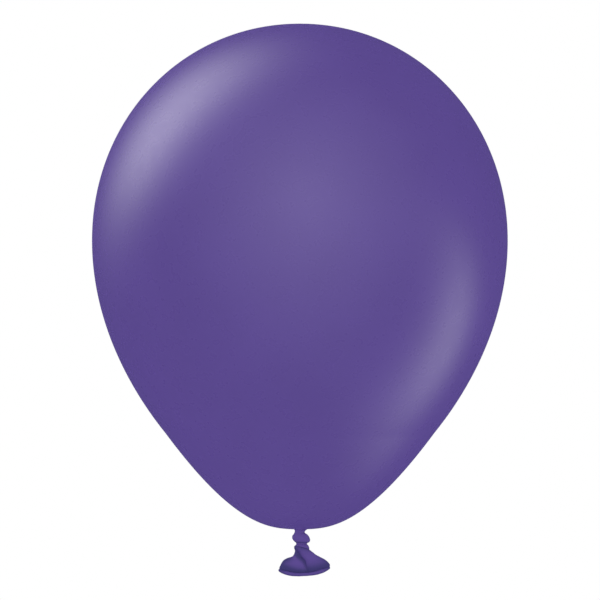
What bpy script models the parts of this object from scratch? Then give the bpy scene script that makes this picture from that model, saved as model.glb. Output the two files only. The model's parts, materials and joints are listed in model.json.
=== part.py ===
"""An inflated and tied latex party balloon, 30 cm across, in metres with +Z up.

The origin is the middle of the tie groove, the narrow place between the skin and the knot where a
ribbon is tied. The skin swells above it; the knot, the collar and the tail hang below it.
The real object is one dipped rubber film with a rolled lip. Here the film is divided at the places
where it changes form or bends, so that each stretch of it is a piece of its own.
"""

import math

import bmesh
import bpy
from mathutils import Matrix, Vector

MM = 0.001

# The skin, a turned shape.
EQUATOR_RADIUS = 150 * MM
CROWN_RISE = 156.4 * MM  # from the equator up to the crown
SKIN_DEPTH = 208.2 * MM  # from the equator down to the underside
UNDERSIDE = 2.3 * MM  # how far the underside is above the tie groove
CROWN_POWER = 2.035  # 2 is an ellipse, and more is squarer
FILM_WALL = 0.1 * MM
MOUTH_RADIUS = 4.9 * MM  # where the skin ends and the gathered neck begins
SKIN_STEPS = 40
NECK_STEPS = 20
STRAND_STEPS = 16

# The flank and the underside, as shares of the equator's radius, out from the axis and down from the
# equator. Two cubic curves meet at FLANK_JOIN, where the film runs down and inwards at FLANK_SLOPE
# from the vertical.
FLANK_JOIN = (0.642, 0.933)
FLANK_SLOPE = math.radians(36.6)
FLANK_SWELL = 0.514  # the handle at the equator, straight down
FLANK_HANDLE = 0.061
UNDERSIDE_HANDLE = 0.582
UNDERSIDE_FLAT = 0.130  # the handle at the axis, level

# The neck and the knot under it.
GROOVE_RADIUS = 3.45 * MM
KNOT_CENTRE = Vector((0.85, 0, -4.6)) * MM
KNOT_RING_RADIUS = 4.3 * MM
KNOT_STRAND_RADIUS = 2.1 * MM
KNOT_STRAND_HEIGHT = 1.35  # the strand's height over its width
KNOT_SLOPE = 0.10  # how much the loop falls for each metre to the right
KNOT_CORE_RADIUS = 1.85 * MM

# The second pinch, under the knot, where the tail bends.
PINCH_CENTRE = Vector((1.3, 0, -8.67)) * MM
PINCH_RADIUS = 3.0 * MM

# The collar, a rolled turn of film round the root of the tail.
COLLAR_DROP = 2.35 * MM  # below the pinch
COLLAR_RING_RADIUS = 3.9 * MM
COLLAR_ROLL_RADIUS = 1.65 * MM
COLLAR_ROLL_HEIGHT = 0.92

# The tail: level sections from its root to its lip, each with the middle in X, half the width, half
# the depth, the height at its two edges and the height at its middle, in millimetres.
TAIL_SECTIONS = (
    (1.3, 1.9, 1.9, -10.2, -10.2),
    (1.3, 1.8, 1.8, -12.5, -12.5),
    (2.3, 5.3, 2.9, -13.9, -14.1),
    (3.4, 7.9, 3.2, -15.9, -16.6),
    (3.9, 11.2, 3.3, -18.0, -20.0),
    (3.6, 15.6, 3.3, -20.3, -23.8),
    (3.5, 17.9, 3.3, -22.7, -26.8),
    (3.3, 18.1, 3.2, -24.6, -28.7),
)
TAIL_HALF_WIDTH = TAIL_SECTIONS[-1][1] * MM
TAIL_CURL = 1.4 * MM  # how far one half of the tail stands in front of the other, at its widest
TAIL_TILT = 1.2 * MM  # how much higher the right end of the lip is than its middle
TAIL_WALL = 0.3 * MM
TAIL_AROUND = 16

# The rolled lip at the tail's mouth.
LIP_RADIUS = 1.25 * MM
LIP_SECTION = (3.3, 17.4, 3.1, -26.6, -30.55)
LIP_POINTS = 36

GAP = 0.3 * MM  # between pieces that touch on the real object

PURPLE = (0.100, 0.065, 0.266)
DEEP_PURPLE = (0.075, 0.050, 0.200)


def clear_scene():
    for obj in list(bpy.data.objects):
        bpy.data.objects.remove(obj)


def rubber(name, colour, roughness):
    """A material with one colour and roughness, for a piece of rubber film."""
    made = bpy.data.materials.new(name)
    made.use_nodes = True
    shader = made.node_tree.nodes["Principled BSDF"]
    shader.inputs["Base Color"].default_value = (*colour, 1)
    shader.inputs["Roughness"].default_value = roughness
    shader.inputs["Metallic"].default_value = 0
    return made


def add_object(name, data, parts, finish, pivot=None):
    """Puts data in the collection as an object, with its finish, on its pivot."""
    obj = bpy.data.objects.new(name, data)
    parts.objects.link(obj)
    obj.data.materials.append(finish)
    hang(obj, pivot)
    return obj


def hang(obj, pivot):
    """Parents obj to the pivot and leaves it where it is in the world."""
    if pivot:
        obj.parent = pivot
        obj.matrix_parent_inverse = pivot.matrix_world.inverted()


def add_pivot(name, place, parts, pivot=None):
    made = bpy.data.objects.new(name, None)
    made.empty_display_size = 5 * MM
    made.location = place
    parts.objects.link(made)
    hang(made, pivot)
    bpy.context.view_layer.update()
    return made


def turned(name, profile, steps, axis_at, parts, finish, pivot=None):
    """A profile of (radius, height) points, from its top down its outer side, turned about Z."""
    mesh = bpy.data.meshes.new(name)
    points = [(radius, 0, height - axis_at.z) for radius, height in profile]
    mesh.from_pydata(points, [(i, i + 1) for i in range(len(points) - 1)], [])
    obj = add_object(name, mesh, parts, finish)
    obj.location = axis_at
    bpy.context.view_layer.update()
    hang(obj, pivot)
    screw = obj.modifiers.new("turn", "SCREW")
    screw.axis = "Z"
    screw.steps = screw.render_steps = steps
    screw.use_merge_vertices = True
    screw.merge_threshold = 0.00001
    screw.use_smooth_shade = True
    return obj


def cubic(start, leave, arrive, end, count):
    """count points along a cubic curve, without its last one."""
    for i in range(count):
        t = i / count
        weights = ((1 - t) ** 3, 3 * t * (1 - t) ** 2, 3 * t * t * (1 - t), t**3)
        corners = (start, leave, arrive, end)
        yield tuple(sum(w * p[k] for w, p in zip(weights, corners)) for k in (0, 1))


def crown_profile(count):
    """(radius, height) from the crown to just above the equator, on a superellipse."""
    equator = UNDERSIDE + SKIN_DEPTH
    for i in range(count):
        angle = math.pi / 2 * (1 - i / count)
        radius = EQUATOR_RADIUS * abs(math.cos(angle)) ** (2 / CROWN_POWER)
        yield (radius if i else 0, equator + CROWN_RISE * math.sin(angle) ** (2 / CROWN_POWER))


def flank_profile(count):
    """(radius, height) from the equator down the flank and in under it, to the mouth."""
    equator = UNDERSIDE + SKIN_DEPTH
    depth = SKIN_DEPTH / EQUATOR_RADIUS
    inwards = Vector((-math.sin(FLANK_SLOPE), math.cos(FLANK_SLOPE)))
    join = Vector(FLANK_JOIN)
    flank = cubic((1, 0), (1, FLANK_SWELL), join - FLANK_HANDLE * inwards, join, count)
    under = cubic(
        join, join + UNDERSIDE_HANDLE * inwards, (UNDERSIDE_FLAT, depth), (0, depth), count
    )
    for radius, drop in (*flank, *under):
        if radius * EQUATOR_RADIUS > 1.5 * MOUTH_RADIUS:
            yield (radius * EQUATOR_RADIUS, equator - drop * EQUATOR_RADIUS)
    yield (MOUTH_RADIUS, UNDERSIDE)


def make_envelope(parts, finish):
    """The blown-up skin: a thin turned wall, open at its mouth."""
    profile = [*crown_profile(9), *flank_profile(7)]
    obj = turned("envelope", profile, SKIN_STEPS, Vector((0, 0, 0)), parts, finish)
    wall = obj.modifiers.new("film", "SOLIDIFY")
    wall.thickness = FILM_WALL
    wall.offset = -1
    return obj


def make_neck_film(parts, finish, pivot):
    """The film drawn together in the tie groove: a shallow funnel above and a stem below."""
    funnel = [(0, 0.7 * MM), (2.2 * MM, 1.1 * MM), (3.9 * MM, 2.0 * MM)]
    flare = [(MOUTH_RADIUS - GAP, UNDERSIDE - 0.1 * MM), (4.1 * MM, 1.3 * MM), (3.6 * MM, 0.6 * MM)]
    stem = [(GROOVE_RADIUS, 0), (3.1 * MM, -0.45 * MM), (2.3 * MM, -0.9 * MM)]
    tip = [(1.9 * MM, -1.35 * MM), (0, -1.35 * MM)]
    profile = funnel + flare + stem + tip
    return turned("neck_film", profile, NECK_STEPS, Vector((0, 0, 0)), parts, finish, pivot)


def ring(name, centre, ring_radius, roll_radius, roll_height, slope, parts, finish, pivot):
    """A soft round ring whose roll is roll_height times as high as it is wide. It leans by slope."""
    bpy.ops.mesh.primitive_torus_add(
        major_radius=ring_radius,
        minor_radius=roll_radius,
        major_segments=24,
        minor_segments=10,
        location=centre,
    )
    obj = bpy.context.object
    obj.name = obj.data.name = name
    lean = Matrix.Diagonal((1, 1, roll_height, 1))
    lean[2][0] = -slope
    obj.data.transform(lean)
    obj.data.materials.append(finish)
    obj.data.shade_smooth()
    for holder in list(obj.users_collection):
        holder.objects.unlink(obj)
    parts.objects.link(obj)
    bpy.context.view_layer.update()
    hang(obj, pivot)
    return obj


def make_knot_core(parts, finish, pivot):
    """The strand that runs down through the loop of the knot."""
    radius = KNOT_CORE_RADIUS
    top, bottom = -1.65 * MM, -7.1 * MM
    profile = [
        (0, top),
        (0.85 * radius, top),
        (1.15 * radius, top - 0.6 * MM),
        (radius, top - 1.6 * MM),
        (radius, bottom + 1.3 * MM),
        (1.15 * radius, bottom + 0.5 * MM),
        (0.85 * radius, bottom),
        (0, bottom),
    ]
    return turned("knot_core", profile, STRAND_STEPS, KNOT_CENTRE, parts, finish, pivot)


def make_tail_stem(parts, finish, pivot):
    """The gathered film in the second pinch, between the knot and the collar."""
    profile = [
        (0, -7.4 * MM),
        (1.5 * MM, -7.4 * MM),
        (2.6 * MM, -8.1 * MM),
        (PINCH_RADIUS, PINCH_CENTRE.z),
        (2.6 * MM, -9.2 * MM),
        (1.8 * MM, -9.5 * MM),
        (1.7 * MM, -9.9 * MM),
        (0, -9.9 * MM),
    ]
    return turned("tail_stem", profile, STRAND_STEPS, PINCH_CENTRE, parts, finish, pivot)


def section_point(section, angle, tilt):
    """A point at angle round one of the tail's sections. The curl moves it back on the left half
    and forward on the right half, and tilt lifts the right end and lowers the left one."""
    middle, half_width, half_depth, edge_height, middle_height = (n * MM for n in section)
    across = math.cos(angle)
    curl = TAIL_CURL * half_width / TAIL_HALF_WIDTH
    return Vector(
        (
            middle + half_width * across,
            half_depth * math.sin(angle) - curl * math.sin(math.pi * across),
            middle_height + (edge_height - middle_height) * across**2 + tilt * across,
        )
    )


def make_tail_skirt(parts, finish, pivot):
    """The neck of the film below the knot: gathered at its root and flattened into a fan at its
    mouth. A coarse cage of the sections, closed at the root, is smoothed and given its wall."""
    cage = bmesh.new()
    rows = []
    for k, section in enumerate(TAIL_SECTIONS):
        tilt = TAIL_TILT * max(0, k - 2) / (len(TAIL_SECTIONS) - 3)
        angles = [2 * math.pi * i / TAIL_AROUND for i in range(TAIL_AROUND)]
        rows.append([cage.verts.new(section_point(section, a, tilt)) for a in angles])
    for above, below in zip(rows, rows[1:]):
        for i in range(TAIL_AROUND):
            j = (i + 1) % TAIL_AROUND
            cage.faces.new((above[i], below[i], below[j], above[j]))
    cage.faces.new(rows[0])
    bmesh.ops.recalc_face_normals(cage, faces=cage.faces)
    mesh = bpy.data.meshes.new("tail_skirt")
    cage.to_mesh(mesh)
    cage.free()
    mesh.transform(Matrix.Translation(-pivot.matrix_world.translation))
    mesh.shade_smooth()
    obj = add_object("tail_skirt", mesh, parts, finish)
    obj.location = pivot.matrix_world.translation
    bpy.context.view_layer.update()
    hang(obj, pivot)
    smooth = obj.modifiers.new("smooth", "SUBSURF")
    smooth.levels = smooth.render_levels = 1
    wall = obj.modifiers.new("film", "SOLIDIFY")
    wall.thickness = TAIL_WALL
    wall.offset = -1
    return obj


def make_lip_bead(parts, finish, pivot):
    """The lip, rolled up on itself into a round cord along the tail's mouth."""
    curve = bpy.data.curves.new("lip_bead", "CURVE")
    curve.dimensions = "3D"
    curve.bevel_depth = LIP_RADIUS
    curve.bevel_resolution = 1
    place = pivot.matrix_world.translation
    spline = curve.splines.new("POLY")
    spline.points.add(LIP_POINTS - 1)
    for i, point in enumerate(spline.points):
        at = section_point(LIP_SECTION, 2 * math.pi * i / LIP_POINTS, TAIL_TILT) - place
        point.co = (*at, 1)
    spline.use_cyclic_u = True
    spline.use_smooth = True
    obj = add_object("lip_bead", curve, parts, finish)
    obj.location = place
    bpy.context.view_layer.update()
    hang(obj, pivot)
    return obj


def main():
    clear_scene()
    parts = bpy.data.collections.new("latex_balloon")
    bpy.context.scene.collection.children.link(parts)
    stretched = rubber("stretched_film", PURPLE, 0.35)
    gathered = rubber("gathered_film", DEEP_PURPLE, 0.45)
    rolled = rubber("rolled_lip", PURPLE, 0.4)

    neck_pivot = add_pivot("neck_pivot", (0, 0, 0), parts)
    tail_pivot = add_pivot("tail_pivot", PINCH_CENTRE, parts, neck_pivot)

    make_envelope(parts, stretched)
    make_neck_film(parts, gathered, neck_pivot)
    ring(
        "knot_loop",
        KNOT_CENTRE,
        KNOT_RING_RADIUS,
        KNOT_STRAND_RADIUS,
        KNOT_STRAND_HEIGHT,
        KNOT_SLOPE,
        parts,
        gathered,
        neck_pivot,
    )
    make_knot_core(parts, gathered, neck_pivot)
    make_tail_stem(parts, gathered, tail_pivot)
    ring(
        "tail_collar",
        PINCH_CENTRE - Vector((0, 0, COLLAR_DROP)),
        COLLAR_RING_RADIUS,
        COLLAR_ROLL_RADIUS,
        COLLAR_ROLL_HEIGHT,
        0,
        parts,
        gathered,
        tail_pivot,
    )
    make_tail_skirt(parts, gathered, tail_pivot)
    make_lip_bead(parts, rolled, tail_pivot)


main()
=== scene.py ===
# %% [markdown]
# # A party balloon, blown up and tied
#
# A latex balloon is one film of rubber, dipped on a former, with its lip rolled up while it is wet.
# Blown up, it is a smooth taut skin. Tied, its neck becomes a short rope of gathered film: a groove,
# a knot, a second pinch, and a tail that opens out flat to the rolled lip.
# This lesson makes each of those as a surface worked out with numpy, around a plain model that
# already has the right sizes and joints.

# %% Load the plain model
import json

import bmesh
import bpy
import numpy as np
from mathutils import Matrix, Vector


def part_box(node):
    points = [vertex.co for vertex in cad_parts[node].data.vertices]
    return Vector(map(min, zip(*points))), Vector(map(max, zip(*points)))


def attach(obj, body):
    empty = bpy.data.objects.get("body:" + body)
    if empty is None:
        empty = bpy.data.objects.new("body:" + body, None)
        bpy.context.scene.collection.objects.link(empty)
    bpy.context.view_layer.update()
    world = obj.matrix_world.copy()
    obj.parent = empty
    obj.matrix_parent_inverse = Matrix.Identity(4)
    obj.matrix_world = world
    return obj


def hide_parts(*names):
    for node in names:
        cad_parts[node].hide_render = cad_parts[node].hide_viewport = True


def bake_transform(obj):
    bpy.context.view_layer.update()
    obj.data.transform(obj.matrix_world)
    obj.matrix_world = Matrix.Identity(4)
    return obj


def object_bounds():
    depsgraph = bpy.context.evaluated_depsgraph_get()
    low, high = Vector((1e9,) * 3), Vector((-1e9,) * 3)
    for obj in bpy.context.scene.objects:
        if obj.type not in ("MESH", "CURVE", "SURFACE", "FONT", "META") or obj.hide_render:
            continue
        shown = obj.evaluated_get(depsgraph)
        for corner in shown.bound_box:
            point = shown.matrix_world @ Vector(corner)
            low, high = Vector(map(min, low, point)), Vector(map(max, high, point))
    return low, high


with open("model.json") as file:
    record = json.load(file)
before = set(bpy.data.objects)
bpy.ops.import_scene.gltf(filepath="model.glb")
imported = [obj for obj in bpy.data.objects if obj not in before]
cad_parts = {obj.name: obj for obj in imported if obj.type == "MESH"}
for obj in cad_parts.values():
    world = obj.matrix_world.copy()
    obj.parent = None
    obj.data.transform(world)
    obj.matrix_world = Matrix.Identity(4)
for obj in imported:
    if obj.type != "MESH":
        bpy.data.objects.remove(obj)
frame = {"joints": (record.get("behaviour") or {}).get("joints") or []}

plain_box = [list(corner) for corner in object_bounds()]

# %% [markdown]
# Sizes come from the plain model. The skin gives the widest radius and the heights of the crown and
# of the underside. The joints give the two places where the rubber bends: the tie groove at the top
# of the knot, and the pinch under it. Everything below is in metres, and MM keeps the numbers of the
# small pieces readable.

# %% Read the sizes
MM = 0.001
skin_low, skin_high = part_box("envelope")
RADIUS = (skin_high[0] - skin_low[0]) / 2
CROWN = skin_high[2]
UNDERSIDE = skin_low[2]
joint_at = {j["name"]: Vector(j["pos_m"]) for j in frame["joints"]}
PINCH = joint_at["tail_sway"]
print(f"radius {RADIUS:.4f}, crown {CROWN:.4f}, underside {UNDERSIDE:.4f}, pinch {PINCH.z:.5f}")

# %% [markdown]
# ## Grids
#
# Every piece here is a grid: rows run along the film, from the crown towards the lip, and columns run
# round it. A mesh needs the grid's points and the corners of each square. Both are whole arrays, so
# no loop over points is needed. Rows go down and columns go anticlockwise seen from above, which
# makes the faces point outwards. A row that shrinks to one point is merged, so poles are closed.


# %% Turn a grid into a mesh
def grid_object(name, points, finish, ring_rows=False, wall=0, shade_marks=None):
    """An object over points[row, column], closed round its columns, and also round its rows when
    ring_rows is set. Square (i, j) joins (i, j), (i+1, j), (i+1, j+1) and (i, j+1). Its UV map has
    the share of the way round in U and along in V. Its last argument gives each point
    a number of painted shade."""
    rows, columns = points.shape[:2]
    i, j = np.meshgrid(np.arange(rows if ring_rows else rows - 1), np.arange(columns), indexing="ij")
    below, beside = (i + 1) % rows, (j + 1) % columns
    squares = np.stack(
        [i * columns + j, below * columns + j, below * columns + beside, i * columns + beside], -1
    ).reshape(-1, 4)
    mesh = bpy.data.meshes.new(name)
    mesh.from_pydata(points.reshape(-1, 3), [], squares)
    around = np.stack([j, j, j + 1, j + 1], -1) / columns
    along = np.stack([i, i + 1, i + 1, i], -1) / (rows if ring_rows else rows - 1)
    uv = mesh.uv_layers.new(name="film")
    uv.data.foreach_set("uv", np.stack([around, along], -1).astype(np.float32).ravel())
    # The marks are painted shade, kept on each point for the material to read.
    if shade_marks is not None:
        mark = mesh.attributes.new("painted_shade", "FLOAT", "POINT")
        mark.data.foreach_set("value", shade_marks.astype(np.float32).ravel())
    close_poles(mesh)
    mesh.shade_smooth()
    mesh.materials.append(finish)
    obj = bpy.data.objects.new(name, mesh)
    bpy.context.scene.collection.objects.link(obj)
    if wall:
        solid = obj.modifiers.new("wall", "SOLIDIFY")
        solid.thickness, solid.offset = wall, -1
    print(name, len(mesh.vertices), "points,", len(mesh.polygons), "faces")
    return obj


def close_poles(mesh):
    """Merges points that lie on each other, as a row at a pole does."""
    work = bmesh.new()
    work.from_mesh(mesh)
    bmesh.ops.remove_doubles(work, verts=work.verts, dist=1e-7)
    work.to_mesh(mesh)
    work.free()


# %% [markdown]
# ## Latex
#
# Dipped latex is coloured all through, so its colour hardly varies: it is a little deeper where the
# film is thick. Its surface is satin, not glassy, because the wet film picks up the former's fine
# texture and a trace of powder. So the material is a Principled shader with three faint patterns in
# Object coordinates: a slow mottle in the colour, a finer one in the roughness, and a very fine bump.
# Where the film is gathered, small wrinkles follow it, so they are stretched noise on the UV map.
# Shade in folds, creases and recesses is painted into the colour, deeper and bluer there.
# Each gathered piece carries that painted shade as marks, from 0 on open film to 1 deep in a fold.


# %% Three kinds of node
def noise(tree, scale, detail, vector):
    """Noise from 0 to 1 over a vector."""
    node = tree.nodes.new("ShaderNodeTexNoise")
    node.inputs["Scale"].default_value = scale
    node.inputs["Detail"].default_value = detail
    tree.links.new(vector, node.inputs["Vector"])
    return node.outputs["Fac"]


def ranged(tree, value, low, high):
    """Takes a noise's usual values, 0.3 to 0.7, to low and high along a straight line."""
    node = tree.nodes.new("ShaderNodeMapRange")
    node.inputs["From Min"].default_value, node.inputs["From Max"].default_value = 0.3, 0.7
    node.inputs["To Min"].default_value, node.inputs["To Max"].default_value = low, high
    tree.links.new(value, node.inputs["Value"])
    return node.outputs["Result"]


def mixed(tree, factor, first, second):
    """The first colour where the factor is 0, and the second where it is 1."""
    node = tree.nodes.new("ShaderNodeMix")
    node.data_type = "RGBA"
    tree.links.new(factor, node.inputs["Factor"])
    for socket, value in ((node.inputs["A"], first), (node.inputs["B"], second)):
        if isinstance(value, bpy.types.NodeSocket):
            tree.links.new(value, socket)
        else:
            socket.default_value = (*value, 1)
    return node.outputs["Result"]


# %% Mix the latex
IN_PAINTED_SHADE = (0.41, 0.55, 0.55)  # what is left of red, green and blue in full painted shade
ROUGHNESS_SPREAD = 0.015


def latex(name, colour, roughness, shine, wrinkles=None):
    """Rubber film. wrinkles is (round, along, strength) for a gathered stretch of it, which also
    gets painted shade from the mesh's marks.
    """
    made = bpy.data.materials.new(name)
    made.use_nodes = True
    tree = made.node_tree
    nodes, links = tree.nodes, tree.links
    shader = nodes["Principled BSDF"]
    shader.inputs["IOR"].default_value = 1.5
    shader.inputs["Specular IOR Level"].default_value = shine
    where = nodes.new("ShaderNodeTexCoord").outputs["Object"]
    thin, thick = [c * 1.02 for c in colour], [c * 0.97 for c in colour]
    tone_and_shade = mixed(tree, ranged(tree, noise(tree, 16, 3, where), 0, 1), thin, thick)
    height = noise(tree, 1400 if wrinkles else 500, 2, where)
    if wrinkles:
        around, along, strength = wrinkles
        stretched = nodes.new("ShaderNodeMapping")
        stretched.inputs["Scale"].default_value = (around, along, 1)
        links.new(nodes.new("ShaderNodeUVMap").outputs["UV"], stretched.inputs["Vector"])
        ridges = noise(tree, 1, 2, stretched.outputs["Vector"])
        # Painted shade: the mesh's marks mix the colour towards a deeper, bluer one.
        painted_shade = nodes.new("ShaderNodeAttribute")
        painted_shade.attribute_name = "painted_shade"
        shade_colour = [c * share for c, share in zip(colour, IN_PAINTED_SHADE)]
        tone_and_shade = mixed(tree, painted_shade.outputs["Fac"], tone_and_shade, shade_colour)
        together = nodes.new("ShaderNodeMath")
        together.operation = "MULTIPLY_ADD"
        together.inputs[1].default_value = strength
        links.new(ridges, together.inputs[0])
        links.new(height, together.inputs[2])
        height = together.outputs["Value"]
    links.new(tone_and_shade, shader.inputs["Base Color"])
    low, high = roughness - ROUGHNESS_SPREAD, roughness + ROUGHNESS_SPREAD
    links.new(ranged(tree, noise(tree, 120, 2, where), low, high), shader.inputs["Roughness"])
    bump = nodes.new("ShaderNodeBump")
    bump.inputs["Strength"].default_value = 0.12 if wrinkles else 0.015
    bump.inputs["Distance"].default_value = 0.0001
    links.new(height, bump.inputs["Height"])
    links.new(bump.outputs["Normal"], shader.inputs["Normal"])
    print(name, len(nodes), "nodes")
    return made


PURPLE = (0.102, 0.0605, 0.284)
taut_latex = latex("taut_latex", PURPLE, 0.28, 0.5)
gathered_latex = latex("gathered_latex", PURPLE, 0.48, 0.18, wrinkles=(30, 2.5, 3.0))
lip_latex = latex("lip_latex", PURPLE, 0.44, 0.18, wrinkles=(90, 8, 1.5))

# %% [markdown]
# ## Lofts for the gathered film
#
# Under the skin the film is a flattened, folded rope, and no two of its sections are alike. A loft
# suits it: a few sections are given, and a smooth curve runs through them. A section here is
# a closed loop that has a left end, a right end, a height at its middle and a depth. It goes from an
# ellipse, where the film is a bundle, to a long slot with round ends, where it lies flat.


# %% Loft the sections
def smooth_through(rows, count):
    """A Catmull-Rom curve through the rows, so each stretch leaves a row in the direction from the
    row before it to the row after it."""
    rows = np.array(rows, float)
    padded = np.concatenate([2 * rows[:1] - rows[1:2], rows, 2 * rows[-1:] - rows[-2:-1]])
    at = np.linspace(0, len(rows) - 1, count)
    k = np.minimum(at.astype(int), len(rows) - 2)
    t = (at - k)[:, None]
    a, b, c, d = (padded[k + n] for n in range(4))
    square = (2 * a - 5 * b + 4 * c - d) * t**2
    cube = (3 * b - a - 3 * c + d) * t**3
    return 0.5 * (2 * b + (c - a) * t + square + cube)


def loft(sections, rows, columns):
    """Points[row, column] in metres and the share across, from -1 at the left end to 1 at the right.
    sections are (left x, left z, right x, right z, middle z, half depth, flatness), in millimetres.
    With c the cosine of the angle round, x goes evenly from end to end with c; y is the half depth
    times the root of 1 - |c|^flatness; and z leaves the middle height with |c|^(1 + flatness/4)."""
    left, left_z, right, right_z, middle_z, depth, flat = smooth_through(sections, rows).T[:, :, None]
    angle = np.linspace(0, 2 * np.pi, columns, endpoint=False)[None]
    across = np.cos(angle)
    x = (left + right) / 2 + (right - left) / 2 * across
    y = depth * np.sign(np.sin(angle)) * np.sqrt(np.clip(1 - np.abs(across) ** flat, 0, 1))
    ends = (left_z + right_z) / 2
    bow = np.abs(across) ** (1 + flat / 4)
    z = middle_z + (ends - middle_z) * bow + (right_z - left_z) / 2 * across
    return np.stack([x, y, z], -1) * MM, np.broadcast_to(across, x.shape)


def gathers(angle, waves, seed):
    """Uneven pleats round a bundle: three sines of the angle with unlike counts and phases."""
    return (
        np.sin(waves * angle + seed)
        + 0.6 * np.sin((waves + 4) * angle + 2.3 * seed)
        + 0.4 * np.sin((2 * waves + 1) * angle + 4.1 * seed)
    ) / 2


def pleated(points, depth, waves, seed):
    """Moves each row's points in and out from its middle by pleats that are depth deep."""
    columns = points.shape[1]
    angle = np.linspace(0, 2 * np.pi, columns, endpoint=False)[None]
    middle = points.mean(1, keepdims=True)
    out = points - middle
    out[..., 2] = 0
    size = np.linalg.norm(out, axis=-1, keepdims=True)
    pleat = np.broadcast_to(depth * gathers(angle, waves, seed), points.shape[:2])
    return points + out / np.maximum(size, 1e-9) * pleat[..., None] * (size > 0.4 * MM)


# %% [markdown]
# ## The neck and the knot
#
# Between the skin and the knot the film is drawn together into a groove, where a ribbon is tied. An
# overhand knot in a rope of film pulls up into one plump turn. From the front it is a smooth bulb
# that leans, higher on the left, lower and fuller on the right, and the neck runs into it without a
# step. One loft makes both, so the surface is continuous. It is cut twice. The rubber bends in the
# groove to any side, and the model has two crossed hinges for that. Its first row is kept, because
# the skin runs into it.

# %% Place the sections of the neck and the knot
NECK_AND_KNOT = (
    (-4.45, 2.12, 5.75, 2.18, 2.16, 5.0, 2),
    (-3.84, 1.44, 4.42, 1.44, 1.44, 4.3, 2),
    (-3.63, 0.72, 3.7, 0.72, 0.72, 4.0, 2),
    (-3.64, 0.0, 3.36, 0.0, 0.0, 3.95, 2),
    (-3.94, -0.72, 3.72, -0.72, -0.72, 4.1, 2),
    (-4.42, -1.44, 4.92, -1.44, -1.44, 4.5, 2),
    (-5.07, -2.17, 5.76, -2.17, -2.17, 4.9, 2),
    (-5.54, -2.95, 6.36, -2.9, -2.9, 5.2, 2),
    (-5.64, -3.8, 6.9, -3.9, -3.9, 5.4, 2),
    (-5.42, -4.9, 7.3, -5.1, -5.1, 5.45, 2),
    (-4.75, -6.0, 7.36, -6.25, -6.2, 5.25, 2),
    (-3.95, -6.85, 6.9, -7.15, -7.0, 4.9, 2),
    (-3.3, -7.35, 6.2, -7.6, -7.4, 4.5, 2),
    (-2.6, -7.4, 5.3, -7.6, -7.35, 3.9, 2),
    (-2.1, -7.0, 4.6, -7.1, -6.95, 3.3, 2),
    (1.2, -6.8, 1.3, -6.8, -6.8, 0.05, 2),
)
STEPS = 9  # rows between two sections
COLUMNS = 176
AT_GROOVE, AT_KNOT = 3 * STEPS, 6 * STEPS  # the rows where the loft is cut
CREASES_BEHIND = ((-2.7, -0.24), (-5.5, -0.30))  # height on the axis in mm, and slope
CREASE_WIDTH, CREASE_DEPTH = 0.42, 0.7  # in mm


def press_creases(points):
    """Presses a groove along each slanting line z = height + slope x on the back of the knot. Its
    depth falls off as a bell across the line, and fades out towards the left and right sides. The
    bell is also given back, to be painted as shade in the groove."""
    middle = points.mean(1, keepdims=True)
    mark = np.zeros(points.shape[:2])
    for height, slope in CREASES_BEHIND:
        off = points[..., 2] / MM - height - slope * points[..., 0] / MM
        behind = np.clip(points[..., 1] / (3 * MM), 0, 1) ** 1.5
        mark += behind * np.exp(-((off / CREASE_WIDTH) ** 2))
    inwards = middle - points
    inwards[..., 2] = 0
    size = np.maximum(np.linalg.norm(inwards, axis=-1, keepdims=True), 1e-9)
    return points + inwards / size * CREASE_DEPTH * MM * mark[..., None], mark


# %% Gather the neck and pull up the knot
points, across = loft(NECK_AND_KNOT, STEPS * (len(NECK_AND_KNOT) - 1) + 1, COLUMNS)
height = points[..., 2] / MM
pleat = 0.15 * np.exp(-((height[:, :1] / 1.7) ** 2)) + 0.05
points, shade_marks = press_creases(pleated(points, pleat * MM, 11, 0.7))
neck_top = points[:2]
# Painted shade: the colour deepens under the knot, and a little towards its left and right sides.
shade_under_knot = np.clip((-6.2 - height) / 1.5, 0, 1) * (np.arange(len(points))[:, None] > AT_KNOT)
shade_at_knot_sides = 0.5 * np.clip((np.abs(across) - 0.8) / 0.2, 0, 1) * np.clip((-2 - height) / 2, 0, 1)
shade_marks = np.clip(shade_marks + np.maximum(shade_under_knot, shade_at_knot_sides), 0, 1)
neck_flare = grid_object(
    "neck_flare", points[: AT_GROOVE + 1], gathered_latex, shade_marks=shade_marks[: AT_GROOVE + 1]
)
neck_gather = grid_object(
    "neck_gather",
    points[AT_GROOVE : AT_KNOT + 1],
    gathered_latex,
    shade_marks=shade_marks[AT_GROOVE : AT_KNOT + 1],
)
knot_turn = grid_object("knot_turn", points[AT_KNOT:], gathered_latex, shade_marks=shade_marks[AT_KNOT:])
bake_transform(neck_flare)
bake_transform(neck_gather)
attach(knot_turn, "knot")
for piece, node in ((neck_flare, "neck_film"), (neck_gather, "neck_film"), (knot_turn, "knot_loop")):
    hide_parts(node)

# %% [markdown]
# ## The skin
#
# Blown up, the film is a surface of revolution: a rounder dome above the widest place, and a longer
# flank that tapers below it and turns in under to the neck. It could be a stretched sphere, but a
# balloon's flank is nearly straight before it turns in, so its outline is drawn in two parts. The
# dome is a superellipse. The flank and the underside are two cubic curves that meet with one
# direction. The outline is then resampled at even steps and turned. Near the axis the skin leaves
# that outline and runs down into the neck in a fillet, which is tight on the left and wide on the
# right. The fillet is a cubic curve in each column, from the skin's last row to the neck's first.
# So thin a film lets most of the light through to the neck under it. Rather than make it translucent,
# which renders slowly and with more noise, the skin is hidden from diffuse rays and casts no shade.

# %% Draw the outline
CROWN_POWER = 2.035
EQUATOR = UNDERSIDE + 1.388 * RADIUS
FLANK_JOIN = np.array([0.642, 0.933])  # out and down from the widest place, as shares of RADIUS
FLANK_SLOPE = np.radians(36.6)  # how far the film leans in from the vertical there


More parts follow.
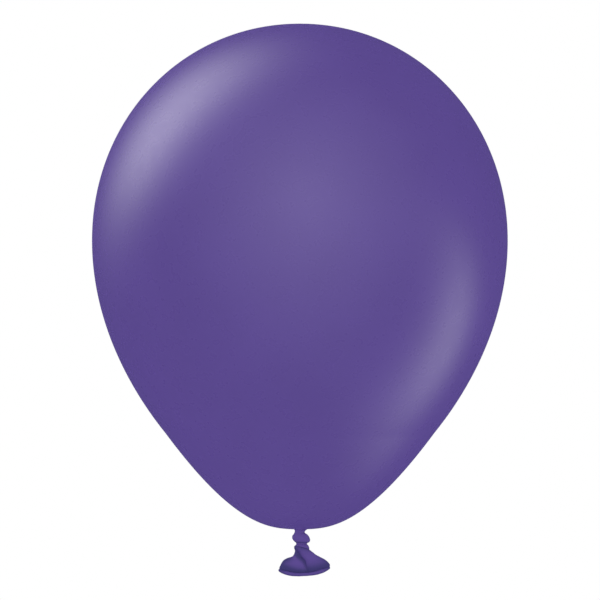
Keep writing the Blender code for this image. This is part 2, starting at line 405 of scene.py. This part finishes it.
def cubic(corners, t):
    """A cubic curve: its corners weighted by (1-t)^3, 3t(1-t)^2, 3t^2(1-t) and t^3. A corner may be a
    point or a whole ring of points."""
    weights = np.stack([(1 - t) ** 3, 3 * t * (1 - t) ** 2, 3 * t**2 * (1 - t), t**3], 1)
    return np.tensordot(weights, np.array(corners, float), 1)


def even_steps(line, count):
    """count points at equal distances along a line of many points."""
    step = np.linalg.norm(np.diff(line, axis=0), axis=1)
    along = np.concatenate([[0], np.cumsum(step)])
    wanted = np.linspace(0, along[-1], count)
    return np.stack([np.interp(wanted, along, line[:, k]) for k in range(line.shape[1])], 1)


def skin_outline(count):
    """(radius, height) from the crown to the axis below. The dome: radius R cos^(2/n) and height
    h sin^(2/n) of one angle."""
    angle = np.linspace(np.pi / 2, 0, 600)
    share = 2 / CROWN_POWER
    dome = np.stack(
        [
            RADIUS * np.clip(np.cos(angle), 0, 1) ** share,
            EQUATOR + (CROWN - EQUATOR) * np.sin(angle) ** share,
        ],
        1,
    )
    t = np.linspace(0, 1, 600)
    inwards = np.array([-np.sin(FLANK_SLOPE), np.cos(FLANK_SLOPE)])
    depth = (EQUATOR - UNDERSIDE) / RADIUS
    before, after = FLANK_JOIN - 0.061 * inwards, FLANK_JOIN + 0.582 * inwards
    flank = cubic([(1, 0), (1, 0.514), before, FLANK_JOIN], t)
    under = cubic([FLANK_JOIN, after, (0.130, depth), (0, depth)], t)
    lower = np.concatenate([flank[1:], under[1:]]) * RADIUS
    lower[:, 1] = EQUATOR - lower[:, 1]
    return even_steps(np.concatenate([dome, lower]), count)


def turned(outline, columns):
    """Points[row, column] of an outline of (radius, height) turned about Z."""
    angle = np.linspace(0, 2 * np.pi, columns, endpoint=False)
    radius, height = outline[:, :1], outline[:, 1:]
    flat = np.zeros_like(angle)
    return np.stack([radius * np.cos(angle), radius * np.sin(angle), height + flat], -1)


# %% Turn the skin and run it into the neck
MOUTH = 9.85 * MM  # the fillet starts here
SKIN_ROWS, FILLET_ROWS = 260, 15
SKIN_WALL = 0.1 * MM
outline = skin_outline(SKIN_ROWS)
outline[0, 0] = 0
outline = outline[(outline[:, 1] > EQUATOR) | (outline[:, 0] > MOUTH)]
body = turned(outline, COLUMNS)
angle = np.linspace(0, 2 * np.pi, COLUMNS, endpoint=False)[:, None]
inwards = body[-1] - body[-2]
inwards /= np.linalg.norm(inwards, axis=1, keepdims=True)
upwards = neck_top[0] - neck_top[1]
upwards /= np.linalg.norm(upwards, axis=1, keepdims=True)
reach = outline[-1, 0] - (6.2 + 0.7 * np.cos(angle)) * MM
fillet = [body[-1], body[-1] + reach * inwards, neck_top[0] + 0.25 * MM * upwards, neck_top[0]]
fillet = cubic(fillet, np.linspace(0, 1, FILLET_ROWS))
skin_points = np.concatenate([body, fillet[1:]])
skin = grid_object("skin", skin_points, taut_latex, wall=SKIN_WALL)
skin.visible_diffuse = False
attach(skin, "balloon")
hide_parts("envelope")

# %% [markdown]
# ## The strand and the collar
#
# The film runs down inside the knot and comes out under it into a second pinch. There a turn of film
# rolls round the root of the tail: a collar, thin on the left and thick on the right, where it slants
# down. The strand runs into it as the neck does into the knot, so this is one more loft, cut at the
# pinch and again where the collar begins. Its upper end is deep inside the knot, and its lower end
# turns in under the collar, so that both stay hidden when the tail is bent.

# %% Run the strand out and roll the collar
STRAND_AND_COLLAR = (
    (1.1, -5.4, 1.2, -5.4, -5.4, 0.05, 2),
    (-0.9, -5.7, 3.5, -5.7, -5.7, 2.0, 2),
    (-2.4, -6.5, 5.0, -6.5, -6.5, 3.4, 2),
    (-2.95, -7.25, 5.8, -7.25, -7.25, 4.15, 2),
    (-2.75, -7.95, 5.55, -7.95, -7.95, 3.95, 2),
    (-2.51, -8.67, 5.06, -8.67, -8.67, 3.65, 2),
    (-2.7, -8.95, 5.6, -9.15, -9.0, 3.85, 2),
    (-2.95, -9.2, 6.1, -9.75, -9.45, 4.1, 2),
    (-3.1, -9.42, 6.55, -10.55, -9.95, 4.3, 2),
    (-3.1, -9.62, 6.85, -11.4, -10.35, 4.35, 2),
    (-2.95, -9.76, 6.85, -12.1, -10.65, 4.25, 2),
    (-2.6, -9.78, 6.4, -12.55, -10.75, 3.95, 2),
    (-2.0, -9.6, 5.5, -12.3, -10.5, 3.4, 2),
    (1.4, -9.7, 1.5, -9.7, -9.7, 0.05, 2),
)
AT_PINCH, AT_COLLAR = 5 * STEPS, 7 * STEPS
points, _ = loft(STRAND_AND_COLLAR, STEPS * (len(STRAND_AND_COLLAR) - 1) + 1, COLUMNS)
points[AT_PINCH, :, 2] = PINCH.z
row = np.arange(len(points))[:, None] / STEPS
points = pleated(points, 0.13 * MM * np.exp(-(((row - 5) / 2) ** 2)), 10, 2.6)
# Painted shade under the collar's roll, and where the strand goes into the knot.
shade_under_roll = np.clip((row - 9.6) / 1.2, 0, 1)
shade_inside_knot = np.exp(-(((row - 3.2) / 0.5) ** 2))
shade_marks = np.broadcast_to(shade_under_roll + shade_inside_knot, points.shape[:2])
cuts = {
    "strand_out": slice(0, AT_PINCH + 1),
    "strand_root": slice(AT_PINCH, AT_COLLAR + 1),
    "collar_roll": slice(AT_COLLAR, None),
}
strand_out, strand_root, collar_roll = (
    grid_object(name, points[cut], gathered_latex, shade_marks=np.clip(shade_marks[cut], 0, 1))
    for name, cut in cuts.items()
)
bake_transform(strand_out)
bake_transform(strand_root)
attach(collar_roll, "collar")
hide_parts("knot_core")
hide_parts("tail_stem")
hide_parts("tail_collar")

# %% [markdown]
# ## The tail
#
# Below the collar the neck of the film is a flattened tube that opens like a fan. Its right half lies
# over its left half in one slanting fold. A fold like that is a Z seen from above: the film runs to
# the right behind, turns back for a short way, and runs right again in front. Both the turn back and
# the step forward are made by adding a tanh of the share across, centred on the fold's line. The tube
# is pinched thin there, so that its layers don't meet.

# %% Place the tail's sections
TAIL_SECTIONS = (
    (-2.1, -9.3, 5.6, -11.8, -10.2, 3.4, 2.0),
    (-3.3, -9.6, 6.7, -12.4, -10.85, 3.95, 2.0),
    (-4.15, -10.6, 7.4, -13.1, -11.8, 3.95, 2.2),
    (-4.0, -12.1, 8.4, -13.8, -13.1, 3.8, 2.4),
    (-3.6, -13.6, 9.7, -14.8, -14.8, 3.6, 2.8),
    (-4.1, -15.6, 11.5, -16.25, -17.3, 3.3, 3.4),
    (-5.5, -17.6, 14.6, -17.9, -20.3, 3.0, 4.2),
    (-9.3, -18.9, 17.9, -19.65, -23.2, 2.8, 5.0),
    (-12.0, -20.6, 20.3, -21.6, -25.9, 2.7, 6.0),
    (-13.6, -23.0, 21.6, -23.3, -28.0, 2.5, 7.0),
    (-14.85, -25.9, 21.6, -24.9, -29.55, 2.3, 8.0),
    (-14.35, -27.6, 20.65, -25.8, -30.5, 2.2, 8.0),
)
# For each section: the fold's place across, its step forward and its turn back, both in millimetres.
FOLD = (
    (-0.84, 0.0, 0.0),
    (-0.82, 0.1, 0.1),
    (-0.78, 0.25, 0.15),
    (-0.72, 0.4, 0.25),
    (-0.58, 0.5, 0.35),
    (-0.36, 0.55, 0.45),
    (-0.10, 0.55, 0.55),
    (0.0, 0.5, 0.55),
    (0.05, 0.4, 0.45),
    (0.08, 0.25, 0.3),
    (0.1, 0.1, 0.1),
    (0.1, 0.0, 0.0),
)
FOLD_WIDTH = 0.95 * MM


def fold_over(points, across, rows):
    """Folds each row at its place p. With w the fold's width as a share of the half width and
    f = tanh((across - p)/w), x moves by turn back times (across - f), y by -step times f, and the
    depth is pinched by a bell centred on p. Also gives how far each point belongs to the front half,
    and how far it is to the left of that half's edge, in millimetres."""
    place, step, back = smooth_through(FOLD, rows).T[:, :, None]
    half = (points[..., 0].max(1) - points[..., 0].min(1))[:, None] / 2
    width = FOLD_WIDTH / half
    f = np.tanh((across - place) / width)
    near = np.exp(-(((across - place) / (2.4 * width)) ** 2))
    folded = points.copy()
    folded[..., 0] += back * MM * (across - f)
    folded[..., 1] *= 1 - 0.55 * near * np.clip(step / 0.8, 0, 1)
    folded[..., 1] -= step * MM * f
    edge = np.where(f > 0, folded[..., 0], 1).min(1)[:, None]
    return folded, (f + 1) / 2, (edge - folded[..., 0]) / MM


# %% Fold the tail
TAIL_ROWS = STEPS * (len(TAIL_SECTIONS) - 1) + 1
TAIL_COLUMNS = 320
TAIL_WALL = 0.25 * MM
LIP_RADIUS = 1.22 * MM
points, across = loft(TAIL_SECTIONS, TAIL_ROWS, TAIL_COLUMNS)
lip_radius = LIP_RADIUS + 0.16 * MM + 0.26 * MM * np.exp(-(((np.abs(across[-1]) - 0.62) / 0.24) ** 2))
lip_radius -= 0.2 * MM * np.abs(across[-1]) ** 12
down = np.linspace(0, 1, TAIL_ROWS)[:, None]
points[..., 2] += (lip_radius - LIP_RADIUS) * down**8
points, front, from_edge = fold_over(points, across, TAIL_ROWS)
gather_depth = 0.15 * MM * np.clip(1 - down / 0.62, 0, 1) ** 1.2
points[..., 1] += np.sign(points[..., 1]) * gather_depth * gathers(across * 2.2, 6, 0.4)
print("tail", np.round(np.ptp(points.reshape(-1, 3), axis=0) / MM, 1), "mm")

# %% [markdown]
# Shade is painted into the colour: behind the fold and along its edge, just above the lip,
# under the collar, and towards the two folded sides, where front and back meet. Each is a bell
# or a ramp of the share down or across, and the deepest one counts. Behind the fold the painted
# shade is flat for a few millimetres and then fades. Both lengths depend on the height, because
# the film tucks in furthest half way down.

# %% Paint the shade in the tail's creases
height = points[..., 2] / MM
flat_part = np.interp(height, (-23, -20.6, -18.4, -16), (0.3, 1.2, 4.2, 4.6))
ramp = np.interp(height, (-24, -22.7, -20.2, -18.4), (2.4, 3.0, 5.0, 2.6))
# All of these are painted shade: the deeper the mark, the deeper and bluer the colour.
shade_behind_fold = 0.92 * np.clip(1 - (from_edge - flat_part) / ramp, 0, 1) * (from_edge > 0)
edge_width = np.interp(height, (-17, -13), (0.8, 2.4))
shade_on_fold = 0.7 * np.exp(-((from_edge / edge_width) ** 2)) * (from_edge <= 0)
shade_over_lip = np.exp(-((np.clip(0.83 - 0.06 * front - down, 0, 1) / (0.1 + 0.04 * front)) ** 2))
shade_under_collar = np.exp(-((down / 0.27) ** 2))
shade_root_sides = 0.9 * np.clip((np.abs(across) - 0.4) / 0.6, 0, 1) * np.clip(1.6 - down / 0.24, 0, 1)
shade_right_side = np.clip((across - 0.2) / 0.8, 0, 1) ** 1.5 * np.clip((down - 0.45) / 0.28, 0, 1)
shade_left_side = np.clip((-across - 0.55) / 0.42, 0, 1) ** 1.9 * np.clip((down - 0.56) / 0.06, 0, 1)
shade_at_edges = 0.55 * np.clip((np.abs(across) - 0.9) / 0.1, 0, 1)
sides = (shade_root_sides, shade_right_side, shade_left_side, shade_at_edges)
shade_marks = np.max([shade_behind_fold, shade_on_fold, shade_over_lip, shade_under_collar + 0 * across, *sides], 0)
tail_film = grid_object("tail_film", points, gathered_latex, wall=TAIL_WALL, shade_marks=shade_marks)
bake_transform(tail_film)
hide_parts("tail_skirt")

# %% [markdown]
# ## The rolled lip
#
# The lip is the film's edge, rolled up on itself while the latex was wet, so it is a round cord along
# the mouth. It is a circle carried along the last section of the tail. At each point of that closed
# path, the circle stands square to the path's direction. The roll is a little uneven, as it is made
# by brushes. Its marks paint shade where it meets the film, on its underside and at its two ends,
# and deepen the whole roll's colour a little.


# %% Roll the lip
def cord_along(path, radius, sides):
    """Points[side, station]: a circle round each station of a closed path, in the plane of two
    directions that are square to the path. The first is outwards from the path's middle, less its
    part along the path, and the second is square to both. radius has one value for each station."""
    ahead = np.roll(path, -1, 0) - np.roll(path, 1, 0)
    ahead /= np.linalg.norm(ahead, axis=1, keepdims=True)
    up = np.array([0, 0, 1.0]) - ahead * ahead[:, 2:]
    up /= np.linalg.norm(up, axis=1, keepdims=True)
    out = np.cross(ahead, up)
    turn = np.linspace(0, 2 * np.pi, sides, endpoint=False)[:, None, None]
    return path + radius[None, :, None] * (np.cos(turn) * out + np.sin(turn) * -up)


LIP_STATIONS, LIP_SIDES = 360, 24
mouth = np.column_stack([points[-1], lip_radius])
mouth = even_steps(np.concatenate([mouth, mouth[:1]]), LIP_STATIONS + 1)[:-1]
station = np.linspace(0, 2 * np.pi, len(mouth), endpoint=False)
mouth, lip_radius = mouth[:, :3], mouth[:, 3] * (1 + 0.025 * gathers(station, 13, 0.9))
turn = np.linspace(0, 2 * np.pi, LIP_SIDES, endpoint=False)[:, None] + 0 * station
# Painted shade at the roll's two ends, where it meets the film and on its underside.
shade_at_ends = np.clip((np.abs(mouth[:, 0] / MM - 3.2) - 13) / 4.5, 0, 1)
shade_at_film = 0.9 * np.clip(-np.sin(turn), 0, 1) ** 3
shade_underneath = 0.6 * np.clip(np.sin(turn), 0, 1) ** 2
shade_marks = np.clip(0.2 + shade_at_film + shade_underneath + 0.65 * shade_at_ends, 0, 1)
lip_points = cord_along(mouth, lip_radius, LIP_SIDES)
rolled_lip = grid_object("rolled_lip", lip_points, lip_latex, ring_rows=True, shade_marks=shade_marks)
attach(rolled_lip, "tail")
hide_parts("lip_bead")

# %% [markdown]
# ## The studio
#
# A satin balloon shows its lights as soft patches. Rectangular lamps would give hard-edged ones, so
# the lights are painted on the world: a wide glow in front and a little above, a strong bent strip
# high on the left and behind, and a weaker one low on the right and behind. Only glossy rays see
# them, over a dim wash. Diffuse rays see an even white, which gives the even colour of a light tent,
# and the camera sees a plain white backdrop. The background is then sampled only by the rays that
# reach it, so that each ray gets its own answer.

# %% Paint the studio lights
BACKDROP = (1.0, 1.0, 1.0)
TENT = 1.0
WASH = (0.104, 0.077, 0.258)  # what the gloss shows where no light is
LAMP = (1.05, 1.06, 0.99)  # the lights' colour
FRONT_GLOW = {"towards": (0.056, -1, 0.342), "reach": 86, "power": 1.63, "light": 1.73}
# Each soft strip: degrees away from the front at its middle and three terms that bend it, its spread
# towards the front and away from it, degrees round from the right at its middle, its reach one way
# and the other way round, how blunt its ends are, and its light.
SOFT_STRIPS = (
    (103.8, (0.060, 0.00407, 0.0000345), (14.4, 16.2), 141.2, (34.6, 27.5), 2.5, 4.0),
    (105.5, (-0.084, -0.01616, -0.0000095), (14.0, 10.1), -25.7, (28.1, 25.6), 2.2, 1.98),
)

world = bpy.data.worlds.new("studio")
bpy.context.scene.world = world
world.use_nodes = True
world.cycles.sampling_method = "NONE"
nodes, links = world.node_tree.nodes, world.node_tree.links
direction = nodes.new("ShaderNodeTexCoord").outputs["Generated"]


def put(socket, value):
    if isinstance(value, bpy.types.NodeSocket):
        links.new(value, socket)
    else:
        socket.default_value = value


def maths(operation, *values, clamp=False):
    node = nodes.new("ShaderNodeMath")
    node.operation = operation
    node.use_clamp = clamp
    for socket, value in zip(node.inputs, values):
        put(socket, value)
    return node.outputs["Value"]


def along_axis(axis):
    """How far the ray's direction goes along an axis."""
    node = nodes.new("ShaderNodeVectorMath")
    node.operation = "DOT_PRODUCT"
    put(node.inputs[0], direction)
    put(node.inputs[1], tuple(axis))
    return node.outputs["Value"]


def in_degrees(angle):
    return maths("MULTIPLY", angle, float(np.degrees(1)))


def front_glow(towards, reach, power, light):
    """light times (1 - angle/reach) to a power, and nothing past reach."""
    angle = in_degrees(maths("ARCCOSINE", along_axis(Vector(towards).normalized())))
    left = maths("SUBTRACT", 1.0, maths("DIVIDE", angle, reach), clamp=True)
    return maths("MULTIPLY", light, maths("POWER", left, power))


def by_side(value, below, above):
    """below where the value is negative, and above where it isn't."""
    return maths("MULTIPLY_ADD", maths("GREATER_THAN", value, 0.0), above - below, below)


def soft_strip(away, bends, spread, around, length, bluntness, light):
    """A bent strip with soft edges. In degrees, a is the angle from the front and f the angle round
    it from the strip's middle. The strip's line is away + b1 f + b2 f^2 + b3 f^3, and its light is
    light times exp(-(a - line)^2 / (2 spread^2)) times exp(-|f/length|^bluntness). The spread and the
    length have two values, one for each side."""
    turn = np.radians(around)
    middle, sideways = (np.cos(turn), 0, np.sin(turn)), (-np.sin(turn), 0, np.cos(turn))
    f = in_degrees(maths("ARCTAN2", along_axis(sideways), along_axis(middle)))
    a = in_degrees(maths("ARCCOSINE", along_axis((0, -1, 0))))
    line = maths("MULTIPLY_ADD", f, bends[2], bends[1])
    line = maths("MULTIPLY_ADD", f, line, bends[0])
    line = maths("MULTIPLY_ADD", f, line, away)
    off = maths("SUBTRACT", a, line)
    off = maths("DIVIDE", off, by_side(off, *spread))
    across_it = maths("EXPONENT", maths("MULTIPLY", maths("MULTIPLY", off, off), -0.5))
    ends = maths("POWER", maths("DIVIDE", maths("ABSOLUTE", f), by_side(f, *length)), bluntness)
    along_it = maths("EXPONENT", maths("MULTIPLY", ends, -1.0))
    return maths("MULTIPLY", maths("MULTIPLY", across_it, along_it), light)


lights = front_glow(**FRONT_GLOW)
for strip in SOFT_STRIPS:
    lights = maths("ADD", lights, soft_strip(*strip))


# %% Give each kind of ray its own world
def background(colour, strength):
    node = nodes.new("ShaderNodeBackground")
    put(node.inputs["Color"], (*colour, 1))
    put(node.inputs["Strength"], strength)
    return node.outputs["Background"]


def chosen(factor, otherwise, when):
    node = nodes.new("ShaderNodeMixShader")
    put(node.inputs[0], factor)
    put(node.inputs[1], otherwise)
    put(node.inputs[2], when)
    return node.outputs["Shader"]


path = nodes.new("ShaderNodeLightPath").outputs
spots = nodes.new("ShaderNodeAddShader")
put(spots.inputs[0], background(LAMP, lights))
put(spots.inputs[1], background(WASH, 1.0))
for_glossy = chosen(path["Is Glossy Ray"], background((1, 1, 1), TENT), spots.outputs["Shader"])
for_camera = chosen(path["Is Camera Ray"], for_glossy, background(BACKDROP, 1.0))
links.new(for_camera, nodes["World Output"].inputs["Surface"])
print("world nodes:", len(nodes))

# %% [markdown]
# ## The floor
#
# The balloon floats, so the floor is well below it. It is a round sheet of paper, pale and matt, and
# glossy rays don't see it, as the underside of a balloon in a light tent shows no floor.

# %% Lay the floor
FLOOR_DROP = 0.35
FLOOR_RADIUS = 4.3
bpy.ops.mesh.primitive_circle_add(
    vertices=128, radius=FLOOR_RADIUS, fill_type="NGON", location=(0, 0, plain_box[0][2] - FLOOR_DROP)
)
floor = bpy.context.object
floor.name = "floor"
paper = bpy.data.materials.new("pale_paper")
paper.use_nodes = True
sheet = paper.node_tree.nodes["Principled BSDF"].inputs
sheet["Base Color"].default_value = (0.95, 0.95, 0.96, 1)
sheet["Roughness"].default_value = 0.9
floor.data.materials.append(paper)
floor.visible_glossy = False
print("floor at", round(floor.location.z, 3))

# %% [markdown]
# ## The camera
#
# A long lens from far away keeps the outline as it is drawn, with next to no perspective. The camera
# is level and looks straight at the balloon, a little below its widest place.

# %% Set up the camera
VIEW_WIDTH = 0.4334  # metres across at the balloon
LENS = 250
EYE_HEIGHT = 0.1676
camera_data = bpy.data.cameras.new("camera")
camera_data.lens = LENS
camera_data.clip_end = 100
camera = bpy.data.objects.new("camera", camera_data)
camera.location = (0.0001, -VIEW_WIDTH * LENS / camera_data.sensor_width, EYE_HEIGHT)
camera.rotation_euler = (np.pi / 2, 0, 0)
bpy.context.scene.collection.objects.link(camera)
bpy.context.scene.camera = camera
bpy.context.scene.view_settings.view_transform = "Standard"
print("camera at", [round(v, 4) for v in camera.location])
